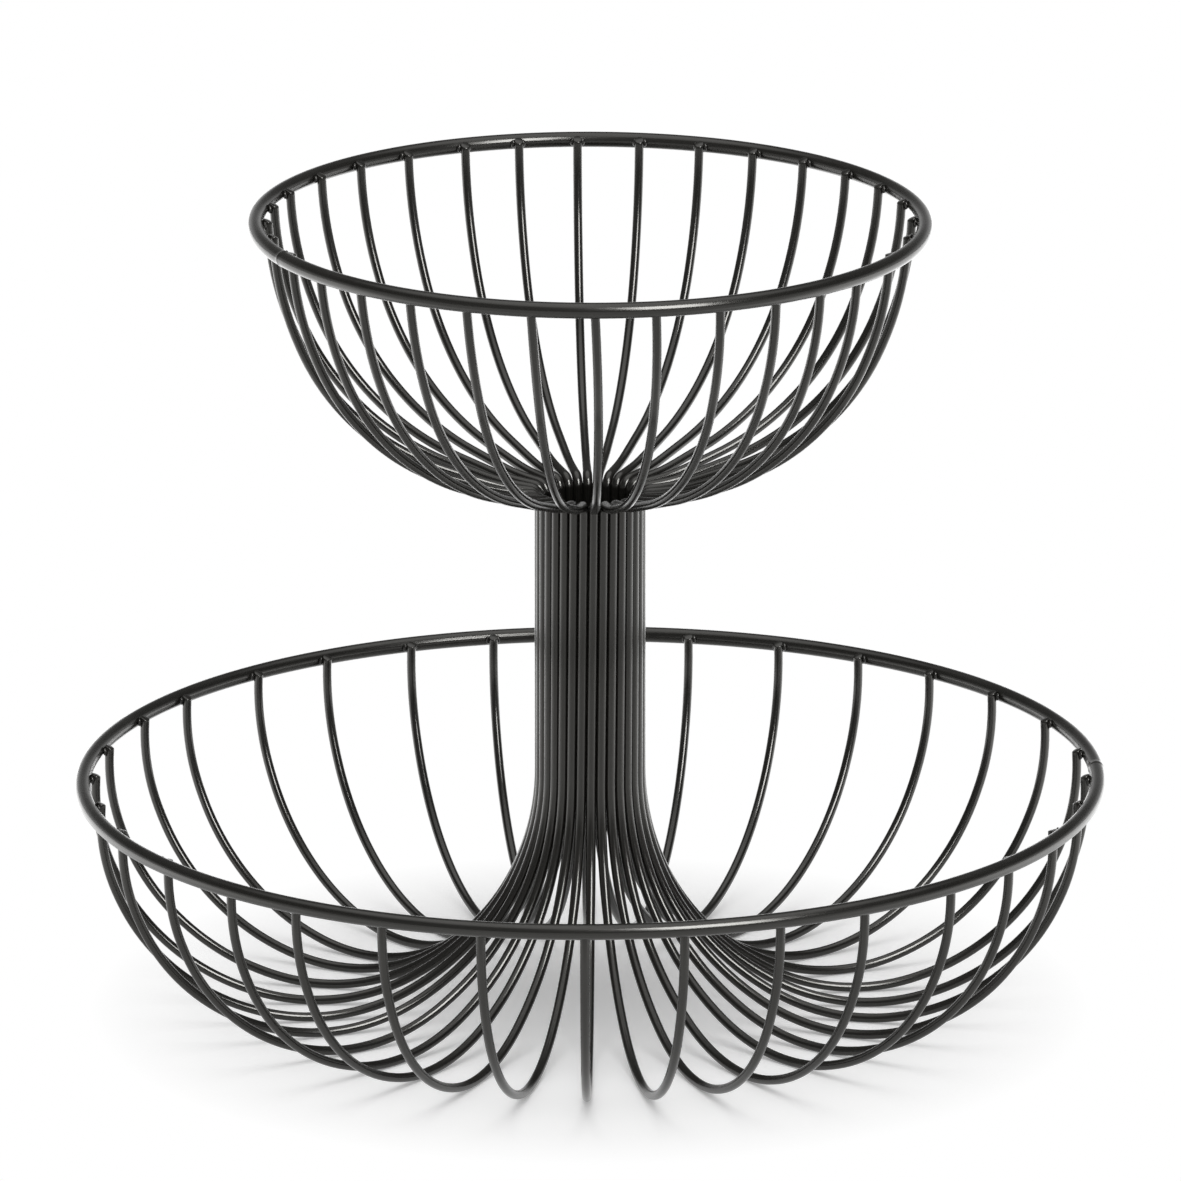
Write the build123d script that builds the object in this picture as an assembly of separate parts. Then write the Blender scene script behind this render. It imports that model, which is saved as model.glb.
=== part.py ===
from build123d import *
import os
from math import cos, pi, radians, sin, sqrt, tan

os.makedirs("parts", exist_ok=True)

# A two-tier wire basket. Every rib wire runs in one piece from the upper rim, down the
# small bowl, through the column and round the large dish to the lower rim. The origin is
# on the table, on the column's axis, and +Z is up. Lengths are millimetres.

# Driving sizes
wire_count = 32
wire_rod = 3.4
rim_rod = 5.8
upper_rim_diameter = 250.0
lower_rim_diameter = 380.0
upper_rim_height = 300.0
lower_rim_height = 88.0
throat_height = 198.0

# Space left beside each neighbour
column_gap = 0.25
seat_gap = 0.1
weld_gap = 0.1

# How far a wire's cut end stands above the middle of its rim
wire_end_rise = 1.0

# Bend radii on a wire's centre line, from the upper rim down to the lower rim
bowl_lip_bend = 120.0
bowl_side_bend = 93.0
bowl_foot_bend = 75.0
throat_bend = 4.0
flare_bend = 93.0
dish_foot_bend = 72.0
dish_floor_bend = 72.0
dish_corner_bend = 84.0
dish_lip_bend = 82.0

# Where the wire's straight runs would cross: shares of the way out from the column to the
# rim, and of the way up from the throat or the table to the rim
bowl_corner_shares = [(0.99, 0.792), (0.735, 0.208), (0.13, 0.014)]
dish_corner_shares = [(0, 0.435), (0.388, 0), (0.574, 0), (0.863, 0.166), (1.007, 0.783)]
bent_leg_share = 0.99

# Two hidden rings hold the column's wires in their circle
inner_ring_rod = 3.4
upper_inner_ring_drop = 13.0
lower_inner_ring_height = 97.0

# Weld beads beside each wire at the rims
rim_bead_radius = 0.7

# Radii worked out from the sizes above, each to the middle of its rod
column_radius = (wire_rod + column_gap) / (2 * sin(pi / wire_count))
upper_rim_radius = (upper_rim_diameter - rim_rod) / 2
lower_rim_radius = (lower_rim_diameter - rim_rod) / 2
rim_seat_inset = rim_rod / 2 + seat_gap + wire_rod / 2
upper_seat_radius = upper_rim_radius - rim_seat_inset
lower_seat_radius = lower_rim_radius - rim_seat_inset
inner_ring_radius = column_radius - wire_rod / 2 - seat_gap - inner_ring_rod / 2
upper_inner_ring_height = throat_height - upper_inner_ring_drop
resting_height = wire_rod / 2


def corner(seat_radius, floor, rim_height, shares):
    out, up = shares
    return Vector(
        column_radius + (seat_radius - column_radius) * out,
        floor + (rim_height - floor) * up,
    )


def past_seat(seat, last_corner):
    # A wire runs straight past its weld and ends a little above the middle of the rim.
    return seat + (seat - last_corner).normalized() * wire_end_rise


def wire_corners():
    bowl = [
        corner(upper_seat_radius, throat_height, upper_rim_height, shares)
        for shares in bowl_corner_shares
    ]
    dish = [
        corner(lower_seat_radius, resting_height, lower_rim_height, shares)
        for shares in dish_corner_shares
    ]
    throat = Vector(column_radius, throat_height)
    upper_end = past_seat(Vector(upper_seat_radius, upper_rim_height), bowl[0])
    lower_end = past_seat(Vector(lower_seat_radius, lower_rim_height), dish[-1])
    return [upper_end, *bowl, throat, *dish, lower_end]


def fitted_bends(corners, bends):
    # Two bends that would meet on a run are both eased until the run has room for them.
    runs = [after - before for before, after in zip(corners, corners[1:])]
    turns = [radians(before.get_angle(after)) for before, after in zip(runs, runs[1:])]
    reaches = [0, *[bend * tan(turn / 2) for bend, turn in zip(bends, turns)], 0]
    easing = [
        min(1, run.length * bent_leg_share / (near + far))
        for run, near, far in zip(runs, reaches, reaches[1:])
    ]
    return [bend * min(near, far) for bend, near, far in zip(bends, easing, easing[1:])]


def wire_path():
    corners = wire_corners()
    bends = [
        bowl_lip_bend,
        bowl_side_bend,
        bowl_foot_bend,
        throat_bend,
        flare_bend,
        dish_foot_bend,
        dish_floor_bend,
        dish_corner_bend,
        dish_lip_bend,
    ]
    return Plane.XZ * FilletPolyline(*corners, radius=fitted_bends(corners, bends))


def wire_along(path, radius):
    return sweep(Plane(path @ 0, z_dir=path % 0) * Circle(radius), path)


def ring(radius, rod, height):
    return Pos(0, 0, height) * Torus(radius, rod / 2)


def around(shape, first_angle=0):
    step = 360 / wire_count
    return [Rot(0, 0, first_angle + step * turn) * shape for turn in range(wire_count)]


def rim_welds(seat_radius, height):
    # A bead lies on each side of every wire, in the corner that it makes with the rim.
    corner_depth = wire_rod / 2 + seat_gap - weld_gap - rim_bead_radius
    reach = wire_rod / 2 + weld_gap + rim_bead_radius
    aside = sqrt(reach**2 - corner_depth**2)
    bead = Pos(seat_radius + corner_depth, aside, height) * Sphere(rim_bead_radius)
    return around(bead) + around(mirror(bead, Plane.XZ))


def inner_ring_welds(height):
    # A bead lies in the groove between each two wires, against the ring.
    half_pitch = (wire_rod + column_gap) / 2
    ring_surface = inner_ring_radius + inner_ring_rod / 2
    wire_circle = column_radius * cos(pi / wire_count)
    depth = wire_circle - ring_surface - weld_gap
    clear_wire = wire_rod / 2 + weld_gap
    bead_radius = (half_pitch**2 + depth**2 - clear_wire**2) / (2 * (depth + clear_wire))
    bead = Pos(ring_surface + weld_gap + bead_radius, 0, height) * Sphere(bead_radius)
    return around(bead, 180 / wire_count)


path = wire_path()
nodes = {
    f"rib_wire_{number:02d}": rib
    for number, rib in enumerate(around(wire_along(path, wire_rod / 2)), start=1)
}
nodes["upper_rim"] = ring(upper_rim_radius, rim_rod, upper_rim_height)
nodes["lower_rim"] = ring(lower_rim_radius, rim_rod, lower_rim_height)
nodes["upper_inner_ring"] = ring(inner_ring_radius, inner_ring_rod, upper_inner_ring_height)
nodes["lower_inner_ring"] = ring(inner_ring_radius, inner_ring_rod, lower_inner_ring_height)
welds = {
    "upper_rim_welds": rim_welds(upper_seat_radius, upper_rim_height),
    "lower_rim_welds": rim_welds(lower_seat_radius, lower_rim_height),
    "upper_inner_ring_welds": inner_ring_welds(upper_inner_ring_height),
    "lower_inner_ring_welds": inner_ring_welds(lower_inner_ring_height),
}
for name, beads in welds.items():
    nodes[name] = Compound(children=beads)

for name, shape in nodes.items():
    export_step(shape, f"parts/{name}.step")
print(len(nodes), "nodes, wire", round(path.length, 1), "mm long, column radius", round(column_radius, 2))
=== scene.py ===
from math import cos, pi, radians, sin, tan

import bmesh
import bpy
from mathutils import Matrix, Vector, noise

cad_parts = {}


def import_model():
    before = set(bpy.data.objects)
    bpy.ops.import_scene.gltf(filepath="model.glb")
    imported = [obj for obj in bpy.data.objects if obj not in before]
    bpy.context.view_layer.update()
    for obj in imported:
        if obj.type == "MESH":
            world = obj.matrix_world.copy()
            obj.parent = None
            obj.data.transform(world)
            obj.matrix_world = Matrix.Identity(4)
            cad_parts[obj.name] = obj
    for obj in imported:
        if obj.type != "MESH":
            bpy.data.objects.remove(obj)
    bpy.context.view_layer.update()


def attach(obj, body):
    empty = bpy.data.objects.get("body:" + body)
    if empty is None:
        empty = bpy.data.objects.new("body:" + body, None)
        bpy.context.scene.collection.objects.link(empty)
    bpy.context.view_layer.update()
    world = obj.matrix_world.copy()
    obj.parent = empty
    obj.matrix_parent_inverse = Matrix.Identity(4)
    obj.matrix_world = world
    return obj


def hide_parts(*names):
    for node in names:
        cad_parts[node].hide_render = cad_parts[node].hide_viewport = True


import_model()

mm = 0.001
up = Vector((0, 0, 1))

# The wire's outline: straight runs joined by bends, in the XZ plane.
outline = {
    "wireCount": 32,
    "wireRod": 3.4 * mm,
    "rimRod": 5.8 * mm,
    "upperRimAcross": 250 * mm,
    "lowerRimAcross": 380 * mm,
    "upperRimHeight": 300 * mm,
    "lowerRimHeight": 88 * mm,
    "throatHeight": 198 * mm,
    "columnGap": 0.25 * mm,
    "seatGap": 0.1 * mm,
    "innerRingDrop": 13 * mm,
    "innerRingLow": 97 * mm,
    # shares of the way out from the column and up to the rim, where the straight runs cross
    "bowlCorners": [(0.99, 0.792), (0.735, 0.208), (0.13, 0.014)],
    "dishCorners": [(0, 0.435), (0.388, 0), (0.574, 0), (0.863, 0.166), (1.007, 0.783)],
    "bends": [120, 93, 75, 4, 93, 72, 72, 84, 82],
    "bentShare": 0.99,
}
count = outline["wireCount"]
throat = outline["throatHeight"]
rimHeights = {"upper": outline["upperRimHeight"], "lower": outline["lowerRimHeight"]}
wireRadius = outline["wireRod"] / 2
rimRadius = outline["rimRod"] / 2
columnRadius = (outline["wireRod"] + outline["columnGap"]) / (2 * sin(pi / count))
rimRings = {"upper": outline["upperRimAcross"] / 2 - rimRadius,
            "lower": outline["lowerRimAcross"] / 2 - rimRadius}
seatInset = rimRadius + outline["seatGap"] + wireRadius
seats = {tier: ring - seatInset for tier, ring in rimRings.items()}
innerRing = columnRadius - 2 * wireRadius - outline["seatGap"]
innerHeights = {"upper": throat - outline["innerRingDrop"], "lower": outline["innerRingLow"]}

# The basket is bent and welded by hand, so no wire stands quite at its even place.
handwork = {
    # degrees that the column's front and back wires stand ahead of their even places
    "columnTop": (4.2, 2.8),
    "columnFoot": (0.8, 4.8),
    "upperTurn": 1.3,            # and the wires' ends as a set, at each rim
    "lowerTurn": -0.6,
    # degrees that single ends stand off the set, counted round from +X
    "upperSway": [0, 1, 1.5, 1.5, 1.5, 1.5, 1, 1, 1, 0.5, -0.5, 0, 0, 0, 1, 0,
                  0, -0.5, -0.5, -1, -1, -1, -1, -0.5, -0.5, -1, -0.5, -0.5, -1.5, -2.5, -1.5, -1],
    "lowerSway": [-1, -2, -0.5, 1, 1, 0.5, 0, 0, 0.5, 1, 0, 0, -1, 0.5, -1, 0,
                  0, 0, -1, 0, 0.5, -1, -1, -0.5, 0, 0, 0, -0.5, 1, 0.5, 0.5, 0],
    "upperLean": -0.12,          # degrees that each rim leans sideways
    "lowerLean": 0.28,
    "upperSink": 0.36 * mm,      # keeps the leaning rim's high side as high as the level one
    "lowerSink": 0,
    "leanSpan": (2 * columnRadius, 4 * columnRadius),   # the lean starts and is full this far out
    "bow": 1.4 * mm,             # the front bowl wires bulge to one side
    "frontShort": 0.7,           # share of its rise over the rim that a front wire is cut lower
    "frontSpan": (0.2, 0.5),     # how far to the front this starts and is full
    "coatBuild": 0.15 * mm,      # more coat, which closes the gaps where wires lie together
    "apartOut": (columnRadius + 8 * mm, columnRadius + 14 * mm),   # out here they lie apart
    "apartFoot": (12 * mm, 26 * mm),     # and at these heights, at the foot and at the throat
    "apartThroat": (201 * mm, 204 * mm),
}


# materials

def addNode(tree, kind, values=None, **settings):
    node = tree.nodes.new(kind)
    for name, value in settings.items():
        setattr(node, name, value)
    for name, value in (values or {}).items():
        node.inputs[name].default_value = value
    return node


def maths(tree, operation, first, second):
    # the first is a socket, the second a socket or a float
    node = addNode(tree, "ShaderNodeMath", operation=operation)
    tree.links.new(first, node.inputs[0])
    if isinstance(second, float):
        node.inputs[1].default_value = second
    else:
        tree.links.new(second, node.inputs[1])
    return node.outputs[0]


def ramp(tree, source, span, top=1.0):
    # rises over the span from 0 to the top
    node = addNode(tree, "ShaderNodeMapRange",
                   {"From Min": span[0], "From Max": span[1], "To Max": top})
    tree.links.new(source, node.inputs["Value"])
    return node.outputs[0]


coatLook = {
    "peel": {"Detail": 3.0, "Roughness": 0.55},
    "speck": {"Scale": 4200.0, "Detail": 1.0, "Roughness": 0.4},
    "patch": {"Scale": 45.0, "Detail": 5.0, "Roughness": 0.6},
    "speckHeight": 0.35,          # beside the peel's height
    "dustFacing": (0.35, 1.0),    # how far a surface looks up where dust starts and is full
    "dustPatch": (0.42, 0.68),    # the same for the patches' noise
    "dustColour": (0.16, 0.155, 0.145, 1),
    "gloss": {"IOR": 1.5, "Specular Tint": (1.0, 0.99, 0.95, 1)},
}


def coatGroup():
    # Powder coat on wire: orange peel, fine specks, dull patches and a little dust on top.
    tree = bpy.data.node_groups.new("powderCoat", "ShaderNodeTree")
    for name in ("Peel Scale", "Dull", "Dull Spread", "Dust"):
        tree.interface.new_socket(name, in_out="INPUT", socket_type="NodeSocketFloat")
    for name in ("Colour", "Dust Colour"):
        tree.interface.new_socket(name, in_out="INPUT", socket_type="NodeSocketColor")
    for name, kind in (("Colour", "Color"), ("Roughness", "Float"), ("Height", "Float")):
        tree.interface.new_socket(name, in_out="OUTPUT", socket_type=f"NodeSocket{kind}")
    given = addNode(tree, "NodeGroupInput").outputs
    result = addNode(tree, "NodeGroupOutput").inputs
    place = addNode(tree, "ShaderNodeTexCoord").outputs["Object"]
    noises = {name: addNode(tree, "ShaderNodeTexNoise", coatLook[name])
              for name in ("peel", "speck", "patch")}
    for texture in noises.values():
        tree.links.new(place, texture.inputs["Vector"])
    tree.links.new(given["Peel Scale"], noises["peel"].inputs["Scale"])
    peel, speck, patch = (texture.outputs["Fac"] for texture in noises.values())
    specks = maths(tree, "MULTIPLY", speck, coatLook["speckHeight"])
    tree.links.new(maths(tree, "ADD", peel, specks), result["Height"])
    # dust lies where the surface looks up
    facing = addNode(tree, "ShaderNodeSeparateXYZ")
    tree.links.new(addNode(tree, "ShaderNodeNewGeometry").outputs["Normal"], facing.inputs[0])
    settled = maths(tree, "MULTIPLY", ramp(tree, facing.outputs["Z"], coatLook["dustFacing"]),
                    ramp(tree, patch, coatLook["dustPatch"]))
    dust = maths(tree, "MULTIPLY", settled, given["Dust"])
    colour = addNode(tree, "ShaderNodeMix", data_type="RGBA")
    tree.links.new(dust, colour.inputs["Factor"])
    tree.links.new(given["Colour"], colour.inputs["A"])
    tree.links.new(given["Dust Colour"], colour.inputs["B"])
    tree.links.new(colour.outputs["Result"], result["Colour"])
    dull = maths(tree, "ADD", given["Dull"], maths(tree, "MULTIPLY", patch, given["Dull Spread"]))
    tree.links.new(maths(tree, "ADD", dull, dust), result["Roughness"])
    return tree


coat = coatGroup()


def coatMaterial(name, finish, relief):
    material = bpy.data.materials.new(name)
    material.use_nodes = True
    tree = material.node_tree
    tree.nodes.clear()
    shader = addNode(tree, "ShaderNodeBsdfPrincipled", coatLook["gloss"])
    surface = addNode(tree, "ShaderNodeOutputMaterial")
    layer = addNode(tree, "ShaderNodeGroup", node_tree=coat)
    for socket, value in {**finish, "Dust Colour": coatLook["dustColour"]}.items():
        layer.inputs[socket].default_value = value
    bump = addNode(tree, "ShaderNodeBump", {"Strength": 1.0, "Distance": relief})
    tree.links.new(layer.outputs["Colour"], shader.inputs["Base Color"])
    tree.links.new(layer.outputs["Roughness"], shader.inputs["Roughness"])
    tree.links.new(layer.outputs["Height"], bump.inputs["Height"])
    tree.links.new(bump.outputs["Normal"], shader.inputs["Normal"])
    tree.links.new(shader.outputs["BSDF"], surface.inputs["Surface"])
    return material


wireCoat = coatMaterial("wireCoat", {
    "Colour": (0.0148, 0.0141, 0.0124, 1),
    "Dull": 0.14, "Dull Spread": 0.08, "Dust": 0.04, "Peel Scale": 900.0,
}, relief=0.0012 * mm)
rimCoat = coatMaterial("rimCoat", {
    "Colour": (0.0148, 0.0141, 0.0124, 1),
    "Dull": 0.17, "Dull Spread": 0.08, "Dust": 0.05, "Peel Scale": 700.0,
}, relief=0.0015 * mm)
weldCoat = coatMaterial("weldCoat", {
    "Colour": (0.012, 0.011, 0.010, 1),
    "Dull": 0.20, "Dull Spread": 0.20, "Dust": 0.02, "Peel Scale": 1400.0,
}, relief=0.012 * mm)
print("stage: materials")


# shapes

def share(value, low, high):
    return min(1, max(0, (value - low) / (high - low)))


def spoke(length, degrees):
    return Vector((length * cos(radians(degrees)), length * sin(radians(degrees)), 0))


def ofKind(kind, geometry):
    return [part for part in geometry if isinstance(part, kind)]


def nearby(bm, middle, reach):
    # the vertices, edges and faces near a point, to be cut
    verts = [v for v in bm.verts if (v.co - middle).length < reach]
    faces = {f for v in verts for f in v.link_faces}
    edges = {e for f in faces for e in f.edges}
    return [*verts, *edges, *faces]


def cornerPoints():
    def between(tier, floor, corners):
        rise = rimHeights[tier] - floor
        return [Vector((columnRadius + (seats[tier] - columnRadius) * out, 0, floor + rise * high))
                for out, high in corners]

    return [
        Vector((seats["upper"], 0, rimHeights["upper"])),
        *between("upper", throat, outline["bowlCorners"]),
        Vector((columnRadius, 0, throat)),
        *between("lower", wireRadius, outline["dishCorners"]),
        Vector((seats["lower"], 0, rimHeights["lower"])),
    ]


def fittedBends(corners):
    # Two bends that would meet on a run are both eased until the run has room for them.
    runs = [after - before for before, after in zip(corners, corners[1:])]
    turns = [before.angle(after) for before, after in zip(runs, runs[1:])]
    bends = [bend * mm for bend in outline["bends"]]
    reaches = [0, *[bend * tan(turn / 2) for bend, turn in zip(bends, turns)], 0]
    easing = [min(1, run.length * outline["bentShare"] / (near + far))
              for run, near, far in zip(runs, reaches, reaches[1:])]
    return [bend * min(near, far) for bend, near, far in zip(bends, easing, easing[1:])]


wireShape = {
    "sides": 20,
    "bendStep": radians(2.2),     # one ring of faces for each step of a bend
    "tightStep": radians(9),      # the same in the throat's small bend
    "tightBend": 10 * mm,         # bends below this are small
    "spare": 3 * outline["wireRod"],      # beyond each end, trimmed off again by the cut
    "endAbove": 2.2 * mm,         # cut end over the middle of the rim, on the rim's side
    "cutSlope": radians(24),      # the cut falls towards the inside of the bowl
    "cutReach": 12 * outline["wireRod"],  # faces this near a rim are cut
    "endBevel": 0.25 * mm,
}


def straightRun(bm, edges, way):
    grown = bmesh.ops.extrude_edge_only(bm, edges=edges)["geom"]
    bmesh.ops.translate(bm, verts=ofKind(bmesh.types.BMVert, grown), vec=way)
    return ofKind(bmesh.types.BMEdge, grown)


def cutEnd(bm, seat, run):
    # The wire is cut on a slope that falls away from the rim.
    slope = Matrix.Rotation(-wireShape["cutSlope"], 3, "Y") @ up
    above = wireShape["endAbove"] - wireRadius * tan(wireShape["cutSlope"])
    cut = bmesh.ops.bisect_plane(bm, geom=nearby(bm, seat, wireShape["cutReach"]),
                                 plane_co=seat + run.normalized() * above, plane_no=slope,
                                 clear_outer=True)
    rim = ofKind(bmesh.types.BMEdge, cut["geom_cut"])
    bmesh.ops.holes_fill(bm, edges=rim, sides=0)
    bmesh.ops.bevel(bm, geom=rim, offset=wireShape["endBevel"], offset_type="OFFSET", segments=2,
                    profile=0.5, affect="EDGES", material=-1)


def wireMesh():
    corners = cornerPoints()
    runs = [after - before for before, after in zip(corners, corners[1:])]
    bm = bmesh.new()
    here = corners[0] - runs[0].normalized() * wireShape["spare"]
    turned = up.rotation_difference(runs[0]).to_matrix().to_4x4()
    bmesh.ops.create_circle(bm, segments=wireShape["sides"], radius=wireRadius,
                            matrix=Matrix.Translation(here) @ turned)
    edges = bm.edges[:]
    for point, bend, before, after in zip(corners[1:], fittedBends(corners), runs, runs[1:]):
        turn = before.angle(after)
        reach = bend * tan(turn / 2)
        arcStart = point - before.normalized() * reach
        edges = straightRun(bm, edges, arcStart - here)
        axis = before.cross(after).normalized()
        inwards = axis.cross(before).normalized()
        step = wireShape["tightStep" if bend < wireShape["tightBend"] else "bendStep"]
        spun = bmesh.ops.spin(bm, geom=edges, cent=arcStart + inwards * bend, axis=axis,
                              angle=turn, steps=max(2, round(turn / step)))
        edges = ofKind(bmesh.types.BMEdge, spun["geom_last"])
        here = point + after.normalized() * reach
    straightRun(bm, edges, corners[-1] + runs[-1].normalized() * wireShape["spare"] - here)
    cutEnd(bm, corners[0], -runs[0])
    cutEnd(bm, corners[-1], runs[-1])
    bmesh.ops.recalc_face_normals(bm, faces=bm.faces[:])
    return bm


def endAngle(number, tier):
    # Where a wire's end stands on its rim, in degrees round from +X.
    return 360 * number / count + handwork[f"{tier}Turn"] + handwork[f"{tier}Sway"][number]


def columnAngle(number, level):
    # Where a wire stands in the column, from 0 at its foot to 1 at the throat.
    even = 360 * number / count
    back = (1 + sin(radians(even))) / 2
    foot, top = (front + (rear - front) * back for front, rear in
                 (handwork["columnFoot"], handwork["columnTop"]))
    return even + foot + (top - foot) * level


def lean(point):
    # Each rim leans a little, and takes its tier's wires along.
    tier, floor = ("lower", 0) if point.z < innerHeights["upper"] else ("upper", throat)
    taken = share(point.z, floor, rimHeights[tier])
    taken *= share(point.xy.length, *handwork["leanSpan"])
    rise = point.x * tan(radians(handwork[f"{tier}Lean"])) - handwork[f"{tier}Sink"]
    return point + Vector((0, 0, rise * taken))


def closeUp(bm):
    # More coat where the wires lie side by side, in the column and the start of the flare.
    bm.normal_update()
    for vert in bm.verts:
        beside = 1 - share(vert.co.x, *handwork["apartOut"])
        tall = share(vert.co.z, *handwork["apartFoot"]) - share(vert.co.z, *handwork["apartThroat"])
        vert.co += vert.normal * handwork["coatBuild"] * beside * tall


def bendByHand(bm, number):
    # Each half of the wire lies in the upright plane through its run in the column and its end.
    planes = {}
    for tier, level in (("upper", 1), ("lower", 0)):
        start = spoke(columnRadius, columnAngle(number, level))
        reach = spoke(seats[tier], endAngle(number, tier)) - start
        planes[tier] = (reach.normalized(), reach.length / (seats[tier] - columnRadius))
    front = max(0, -sin(2 * pi * number / count))
    short = handwork["frontShort"] * share(front, *handwork["frontSpan"])
    for vert in bm.verts:
        radius, across, height = vert.co
        way, stretch = planes["upper" if height > throat / 2 else "lower"]
        rise = share(height, throat, rimHeights["upper"])
        across += handwork["bow"] * front * 4 * rise * (1 - rise)   # full at half height
        level = share(height, rimHeights["lower"], throat)
        foot = spoke(columnRadius, columnAngle(number, level))
        place = foot + way * (radius - columnRadius) * stretch + up.cross(way) * across
        for rim in rimHeights.values():
            # only the wire's end lies just above a rim, clear of the column
            if rim < height < rim + 2 * rimRadius and radius > 2 * columnRadius:
                height -= short * (height - rim)
        vert.co = lean(Vector((place.x, place.y, height)))


def finished(bm, name, material, nodes):
    mesh = bpy.data.meshes.new(name)
    for face in bm.faces:
        face.smooth = True
    bm.to_mesh(mesh)
    bm.free()
    piece = bpy.data.objects.new(name, mesh)
    bpy.context.scene.collection.objects.link(piece)
    mesh.materials.append(material)
    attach(piece, "root")
    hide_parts(*nodes)


def ribWires():
    pattern = wireMesh()
    closeUp(pattern)
    for number in range(count):
        bm = pattern.copy()
        bendByHand(bm, number)
        finished(bm, f"ribWire_{number + 1:02d}", wireCoat, [f"rib_wire_{number + 1:02d}"])
    pattern.free()


ringShape = {
    "rimSides": 32,
    "upperSteps": 288,
    "lowerSteps": 384,
    "innerSides": 20,
    "innerSteps": 96,
}
rimSeam = {
    "upperAngle": 205,           # degrees round from +X, where each rim's rod is butt-welded
    "lowerAngle": 2.6,
    "halfWide": 0.9 * mm,
    "cuts": 4,                   # extra rings of edges on each side of its middle
    "cutReach": 4 * rimRadius,
    "swellReach": 3 * rimRadius,
    "flatShare": 0.2,            # of the half width, that is fully proud
    "proud": 0.15 * mm,
    "lump": (0.8, 0.5),          # how proud on average, and how far the noise changes it
    "lumpGrain": 0.7,            # lumps to the millimetre
}


def torus(radius, rod, height, sides, steps):
    bm = bmesh.new()
    upright = Matrix.Translation((radius, 0, height)) @ Matrix.Rotation(pi / 2, 4, "X")
    bmesh.ops.create_circle(bm, segments=sides, radius=rod / 2, matrix=upright)
    bmesh.ops.spin(bm, geom=bm.verts[:] + bm.edges[:], cent=(0, 0, 0), axis=up, angle=2 * pi,
                   steps=steps, use_merge=True)
    bmesh.ops.recalc_face_normals(bm, faces=bm.faces[:])
    return bm


def buttWeld(bm, radius, height, degrees):
    # A low, slightly uneven band goes round the rod where its two ends meet.
    middle = spoke(radius, degrees) + Vector((0, 0, height))
    along = up.cross(spoke(1, degrees))
    wide, cuts = rimSeam["halfWide"], rimSeam["cuts"]
    for step in range(-cuts, cuts + 1):
        bmesh.ops.bisect_plane(bm, geom=nearby(bm, middle, rimSeam["cutReach"]),
                               plane_co=middle + along * wide * step / cuts, plane_no=along)
    bm.normal_update()
    usual, change = rimSeam["lump"]
    for vert in bm.verts:
        away = vert.co - middle
        if away.length < rimSeam["swellReach"]:
            swell = 1 - share(abs(away.dot(along)), rimSeam["flatShare"] * wide, wide)
            lump = usual + change * noise.noise(vert.co / mm * rimSeam["lumpGrain"])
            vert.co += vert.normal * rimSeam["proud"] * swell * lump


def rings():
    for tier, radius in rimRings.items():
        bm = torus(radius, outline["rimRod"], rimHeights[tier], ringShape["rimSides"],
                   ringShape[f"{tier}Steps"])
        buttWeld(bm, radius, rimHeights[tier], rimSeam[f"{tier}Angle"])
        for vert in bm.verts:
            vert.co = lean(vert.co)
        finished(bm, f"{tier}Rim", rimCoat, [f"{tier}_rim"])
    for tier, height in innerHeights.items():
        bm = torus(innerRing, outline["wireRod"], height, ringShape["innerSides"],
                   ringShape["innerSteps"])
        finished(bm, f"{tier}InnerRing", wireCoat, [f"{tier}_inner_ring"])


weldShape = {
    "size": (0.75 * mm, 0.95 * mm, 1.5 * mm),   # deep, wide and tall
    "out": wireRadius * 0.75,    # from the wire's middle towards the rim
    "aside": 0.2 * mm,           # past the wire's side
    "rough": 0.22 * mm,
    "roughGrain": 900.0,
    "grooveBead": 0.55 * mm,
    "grooveOut": 0.8,            # of its radius, from the inner ring's surface
}


def bead(bm, middle, size, seed, turn):
    made = bmesh.ops.create_icosphere(bm, subdivisions=2, radius=1)["verts"]
    bmesh.ops.scale(bm, verts=made, vec=size)
    bmesh.ops.translate(bm, verts=made, vec=middle)
    for vert in made:
        lump = noise.noise(vert.co * weldShape["roughGrain"] + Vector((seed, seed, 0)))
        vert.co += (vert.co - middle).normalized() * lump * weldShape["rough"]
    bmesh.ops.rotate(bm, verts=made, cent=(0, 0, 0), matrix=Matrix.Rotation(turn, 3, "Z"))


def welds():
    for tier, seat in seats.items():
        bm = bmesh.new()
        for number in range(count):
            turn = radians(endAngle(number, tier))
            for side in (-1, 1):
                middle = Vector((seat + weldShape["out"], side * (wireRadius + weldShape["aside"]),
                                 rimHeights[tier]))
                bead(bm, middle, weldShape["size"], number * 2 + side, turn)
        for vert in bm.verts:
            vert.co = lean(vert.co)
        finished(bm, f"{tier}RimWelds", weldCoat, [f"{tier}_rim_welds"])
    radius = weldShape["grooveBead"]
    out = innerRing + wireRadius + radius * weldShape["grooveOut"]
    for tier, height in innerHeights.items():
        bm = bmesh.new()
        for number in range(count):
            turn = 2 * pi * (number + 0.5) / count
            bead(bm, Vector((out, 0, height)), [radius] * 3, number, turn)
        finished(bm, f"{tier}InnerWelds", weldCoat, [f"{tier}_inner_ring_welds"])


ribWires()
rings()
welds()
print("stage: pieces")


# floor, light and camera

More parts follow.
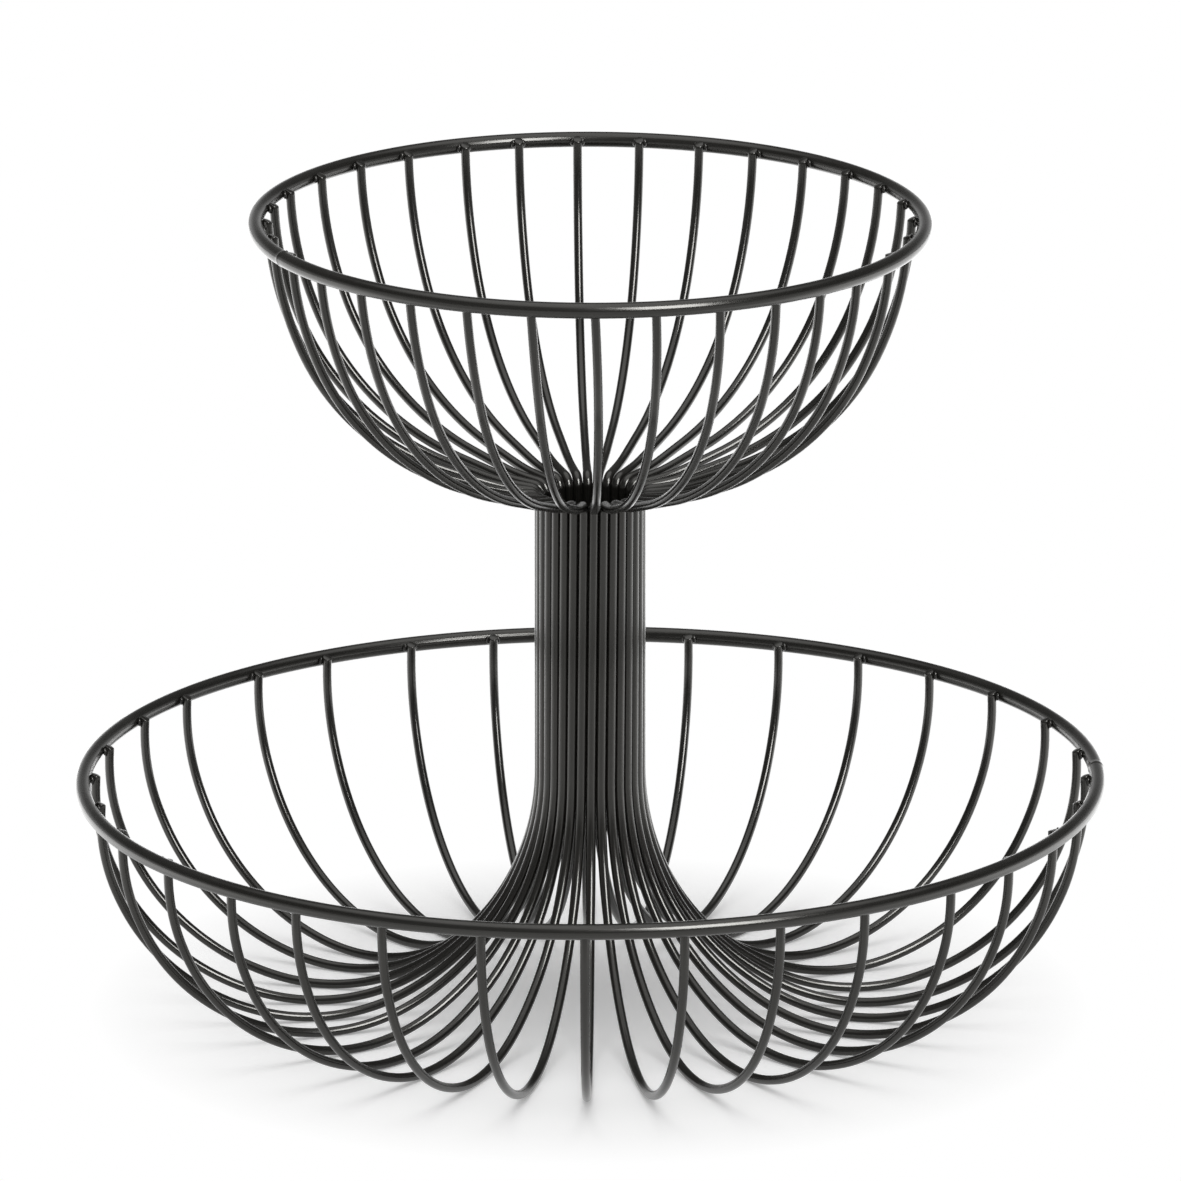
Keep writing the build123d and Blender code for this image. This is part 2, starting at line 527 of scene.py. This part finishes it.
studio = {
    "floorAcross": 6.0,
    "floorColour": 0.93,
    "floorGlow": 0.22,           # the floor's own white, only as the camera and the gloss see it
    "backdropOut": (0.115, 0.185),       # out here the floor turns into the plain white backdrop
    "backLit": 1.5,              # the gloss sees this much more white on the far floor,
    "litOut": (0.22, 0.36),      # which starts and is full this far out
    "litBehind": (-0.35, -0.05),         # and this far back
    "worldWhite": 1.0,
    "worldLight": 0.60,          # lights the matt surfaces
    # what the gloss sees of the room, and between which looks back or up it changes
    "roomDark": 0.34,            # the unlit room behind the camera
    "roomSpan": (-0.75, -0.35),  # looking back, where -1 is straight towards the camera's side
    "wallDark": 0.16,            # the wall above the lit part of the backdrop
    "wallSpan": (0.10, 0.30),    # looking up, where 1 is straight up
    "ceiling": 2.0,              # the lit ceiling
    "ceilingSpan": (0.72, 0.92),
    "middle": (0, 0, 0.15),      # the lights point here
    "topPower": 15.5,            # lights the matt surfaces alone
    "topSize": (1.3, 1.3),
    "topPlace": (0, -0.45, 2.2),
    "keyPower": 104.0,           # a bright streak in the gloss alone
    "keySize": (1.05, 1.6),
    "keyPlace": (1.00, -1.89, 1.64),
}


def blend(tree, factor, first, second):
    node = addNode(tree, "ShaderNodeMixShader")
    for socket, source in enumerate((factor, first, second)):
        tree.links.new(source, node.inputs[socket])
    return node.outputs[0]


def seenWhite(tree):
    # 1 for the camera and for reflections, 0 for light on the object
    seen = addNode(tree, "ShaderNodeLightPath").outputs
    return maths(tree, "MAXIMUM", seen["Is Camera Ray"], seen["Is Glossy Ray"])


def floorMaterial():
    material = bpy.data.materials.new("paleFloor")
    material.use_nodes = True
    tree = material.node_tree
    tree.nodes.clear()
    matt = addNode(tree, "ShaderNodeBsdfDiffuse",
                   {"Color": (studio["floorColour"],) * 3 + (1,)}).outputs[0]
    glow = addNode(tree, "ShaderNodeEmission", {"Strength": studio["floorGlow"]}).outputs[0]
    white = addNode(tree, "ShaderNodeEmission")
    place = addNode(tree, "ShaderNodeTexCoord").outputs["Object"]
    split = addNode(tree, "ShaderNodeSeparateXYZ")
    tree.links.new(place, split.inputs[0])
    length = addNode(tree, "ShaderNodeVectorMath", operation="LENGTH")
    tree.links.new(place, length.inputs[0])
    away = length.outputs["Value"]
    # the far floor beside and behind is lit from below, which only the gloss tells from white
    lit = maths(tree, "MULTIPLY", ramp(tree, away, studio["litOut"]),
                ramp(tree, split.outputs["Y"], studio["litBehind"], studio["backLit"]))
    inGloss = addNode(tree, "ShaderNodeLightPath").outputs["Is Glossy Ray"]
    strength = maths(tree, "ADD", maths(tree, "MULTIPLY", lit, inGloss), studio["worldWhite"])
    tree.links.new(strength, white.inputs["Strength"])
    near = addNode(tree, "ShaderNodeAddShader")
    tree.links.new(matt, near.inputs[0])
    tree.links.new(glow, near.inputs[1])
    seen = blend(tree, ramp(tree, away, studio["backdropOut"]), near.outputs[0], white.outputs[0])
    surface = addNode(tree, "ShaderNodeOutputMaterial")
    tree.links.new(blend(tree, seenWhite(tree), matt, seen), surface.inputs["Surface"])
    return material


def floor():
    bm = bmesh.new()
    bmesh.ops.create_grid(bm, x_segments=1, y_segments=1, size=studio["floorAcross"] / 2)
    mesh = bpy.data.meshes.new("floor")
    bm.to_mesh(mesh)
    bm.free()
    ground = bpy.data.objects.new("floor", mesh)
    bpy.context.scene.collection.objects.link(ground)
    mesh.materials.append(floorMaterial())


def world():
    sky = bpy.data.worlds.new("studioWhite")
    bpy.context.scene.world = sky
    sky.use_nodes = True
    tree = sky.node_tree
    tree.nodes.clear()
    white, soft, room, wall, ceiling = (
        addNode(tree, "ShaderNodeBackground", {"Strength": studio[name]}).outputs[0]
        for name in ("worldWhite", "worldLight", "roomDark", "wallDark", "ceiling"))
    # reflections see the white backdrop low behind and beside, and dark above it and by the camera
    looking = addNode(tree, "ShaderNodeSeparateXYZ")
    tree.links.new(addNode(tree, "ShaderNodeTexCoord").outputs["Generated"], looking.inputs[0])
    back, high = looking.outputs["Y"], looking.outputs["Z"]
    backdrop = blend(tree, ramp(tree, high, studio["wallSpan"]), white, wall)
    reflected = blend(tree, ramp(tree, back, studio["roomSpan"]), room, backdrop)
    roofed = blend(tree, ramp(tree, high, studio["ceilingSpan"]), reflected, ceiling)
    byCamera = addNode(tree, "ShaderNodeLightPath").outputs["Is Camera Ray"]
    seen = blend(tree, byCamera, roofed, white)
    out = addNode(tree, "ShaderNodeOutputWorld")
    tree.links.new(blend(tree, seenWhite(tree), soft, seen), out.inputs["Surface"])


def softbox(name, inGloss):
    data = bpy.data.lights.new(f"{name}Light", "AREA")
    data.shape = "RECTANGLE"
    data.size, data.size_y = studio[f"{name}Size"]
    data.energy = studio[f"{name}Power"]
    light = bpy.data.objects.new(f"{name}Light", data)
    light.location = studio[f"{name}Place"]
    aim = Vector(studio["middle"]) - light.location
    light.rotation_euler = aim.to_track_quat("-Z", "Y").to_euler()
    light.visible_glossy = inGloss
    light.visible_diffuse = not inGloss
    bpy.context.scene.collection.objects.link(light)


# The long lens and the view that fit both rims of the photograph, whose frame is 1181 pixels.
view = {
    "focalPixels": 14085,
    "framePixels": 1181,
    "pitch": radians(16.309),
    "distance": 5.176,
    "target": Vector((0.00013, 0, 0.16002)),
    "sensor": 36,
    "clipEnd": 50,
}


def camera():
    data = bpy.data.cameras.new("camera")
    data.sensor_width = view["sensor"]
    data.lens = view["sensor"] * view["focalPixels"] / view["framePixels"]
    data.clip_end = view["clipEnd"]
    eye = bpy.data.objects.new("camera", data)
    back = Vector((0, -cos(view["pitch"]), sin(view["pitch"])))
    eye.location = view["target"] + back * view["distance"]
    eye.rotation_euler = (pi / 2 - view["pitch"], 0, 0)
    bpy.context.scene.collection.objects.link(eye)
    bpy.context.scene.camera = eye


floor()
world()
softbox("top", inGloss=False)
softbox("key", inGloss=True)
camera()
bpy.context.scene.view_settings.view_transform = "Standard"
print("stage: studio")
